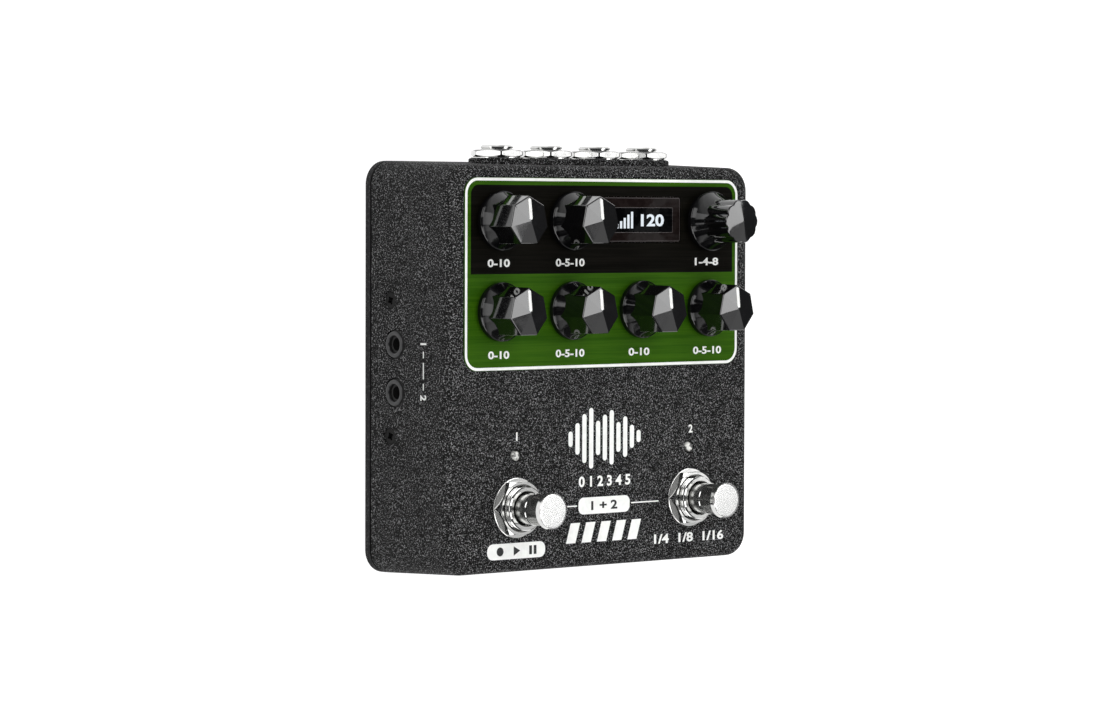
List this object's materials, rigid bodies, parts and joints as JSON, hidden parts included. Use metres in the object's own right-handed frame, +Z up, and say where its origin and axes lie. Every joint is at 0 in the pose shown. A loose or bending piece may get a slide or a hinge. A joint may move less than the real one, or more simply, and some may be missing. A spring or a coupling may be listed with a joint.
{
  "type": "guitar effects pedal",
  "caption": "Dual-footswitch effects pedal: sloped-wall metal case, brushed control panel with faceted knobs and a small display, rear audio jacks.",
  "frame": {"origin": "centre of the base plate's underside, which rests on the floor", "axes": "+Z up out of the face, +Y towards the row of rear jacks, +X to the player's right"},
  "size_m": [0.1127, 0.1163, 0.05],
  "materials": {
    "powder_coat": "charcoal fine-textured powder coat on die-cast aluminium",
    "plate_steel": "black painted steel sheet, fine texture",
    "black_screw": "black oxide cross-recess countersunk screws",
    "panel_print": "brushed aluminium sheet printed green and black with a white outline",
    "smoked_lens": "smoked acrylic window with a printed border",
    "black_plastic": "black moulded plastic with metal bushes where threaded",
    "circuit_board": "green solder mask on glass laminate",
    "shaft_steel": "turned steel shaft with one flat",
    "gloss_knob": "polished black moulded plastic with a white pointer line",
    "chrome": "bright nickel-chrome plating on brass",
    "spring_steel": "round spring wire",
    "clear_lens": "water-clear round lamp lens with a white core"
  },
  "bodies": {
    "chassis": {"enclosure_shell": "powder_coat", "base_plate": "plate_steel", "base_screw_front_left": "black_screw", "base_screw_front_right": "black_screw", "base_screw_rear_left": "black_screw", "base_screw_rear_right": "black_screw", "side_screw_front": "black_screw", "side_screw_rear": "black_screw", "control_panel_plate": "panel_print", "display_window": "smoked_lens", "display_module": "black_plastic", "select_encoder_body": "black_plastic", "left_footswitch_body": "black_plastic", "right_footswitch_body": "black_plastic", "side_socket_front": "black_plastic", "side_socket_rear": "black_plastic", "power_inlet": "black_plastic", "bass_pot_body": "black_plastic", "treble_pot_body": "black_plastic", "time_pot_body": "black_plastic", "repeat_pot_body": "black_plastic", "level_pot_body": "black_plastic", "reverb_pot_body": "black_plastic", "output_jack_1_body": "black_plastic", "output_jack_2_body": "black_plastic", "input_jack_2_body": "black_plastic", "input_jack_1_body": "black_plastic", "main_circuit_board": "circuit_board", "side_socket_board": "circuit_board", "left_footswitch_nut": "chrome", "right_footswitch_nut": "chrome", "output_jack_1_nut": "chrome", "output_jack_2_nut": "chrome", "input_jack_2_nut": "chrome", "input_jack_1_nut": "chrome", "output_jack_1_washer": "chrome", "output_jack_2_washer": "chrome", "input_jack_2_washer": "chrome", "input_jack_1_washer": "chrome", "left_footswitch_spring": "spring_steel", "right_footswitch_spring": "spring_steel", "left_status_lamp": "clear_lens", "right_status_lamp": "clear_lens"},
    "bass_control": {"bass_pot_shaft": "shaft_steel", "bass_knob": "gloss_knob"},
    "treble_control": {"treble_pot_shaft": "shaft_steel", "treble_knob": "gloss_knob"},
    "time_control": {"time_pot_shaft": "shaft_steel", "time_knob": "gloss_knob"},
    "repeat_control": {"repeat_pot_shaft": "shaft_steel", "repeat_knob": "gloss_knob"},
    "level_control": {"level_pot_shaft": "shaft_steel", "level_knob": "gloss_knob"},
    "reverb_control": {"reverb_pot_shaft": "shaft_steel", "reverb_knob": "gloss_knob"},
    "select_press_plate": {"select_push_plate": "black_plastic"},
    "select_control": {"select_encoder_shaft": "shaft_steel", "select_knob": "gloss_knob"},
    "left_button": {"left_footswitch_plunger": "chrome"},
    "right_button": {"right_footswitch_plunger": "chrome"}
  },
  "joints": [
    {"name": "bass_turn", "type": "hinge", "parent": "chassis", "child": "bass_control", "pos_m": [-0.0381, 0.0398, 0.0352], "axis": [0, 0, 1], "range_deg": [-150, 150]},
    {"name": "treble_turn", "type": "hinge", "parent": "chassis", "child": "treble_control", "pos_m": [-0.0127, 0.0398, 0.0352], "axis": [0, 0, 1], "range_deg": [-150, 150]},
    {"name": "time_turn", "type": "hinge", "parent": "chassis", "child": "time_control", "pos_m": [-0.0381, 0.0155, 0.0352], "axis": [0, 0, 1], "range_deg": [-150, 150]},
    {"name": "repeat_turn", "type": "hinge", "parent": "chassis", "child": "repeat_control", "pos_m": [-0.0127, 0.0155, 0.0352], "axis": [0, 0, 1], "range_deg": [-150, 150]},
    {"name": "level_turn", "type": "hinge", "parent": "chassis", "child": "level_control", "pos_m": [0.0127, 0.0155, 0.0352], "axis": [0, 0, 1], "range_deg": [-150, 150]},
    {"name": "reverb_turn", "type": "hinge", "parent": "chassis", "child": "reverb_control", "pos_m": [0.0381, 0.0155, 0.0352], "axis": [0, 0, 1], "range_deg": [-150, 150]},
    {"name": "select_press", "type": "slide", "parent": "chassis", "child": "select_press_plate", "axis": [0, 0, -1], "range_m": [0, 0.0005], "stiffness_N_per_m": 3000},
    {"name": "select_turn", "type": "hinge", "parent": "select_press_plate", "child": "select_control", "pos_m": [0.0381, 0.0398, 0.0356], "axis": [0, 0, 1], "continuous": true},
    {"name": "left_press", "type": "slide", "parent": "chassis", "child": "left_button", "axis": [0, 0, -1], "range_m": [0, 0.0022], "stiffness_N_per_m": 1500, "deforming": ["left_footswitch_spring"]},
    {"name": "right_press", "type": "slide", "parent": "chassis", "child": "right_button", "axis": [0, 0, -1], "range_m": [0, 0.0022], "stiffness_N_per_m": 1500, "deforming": ["right_footswitch_spring"]}
  ]
}
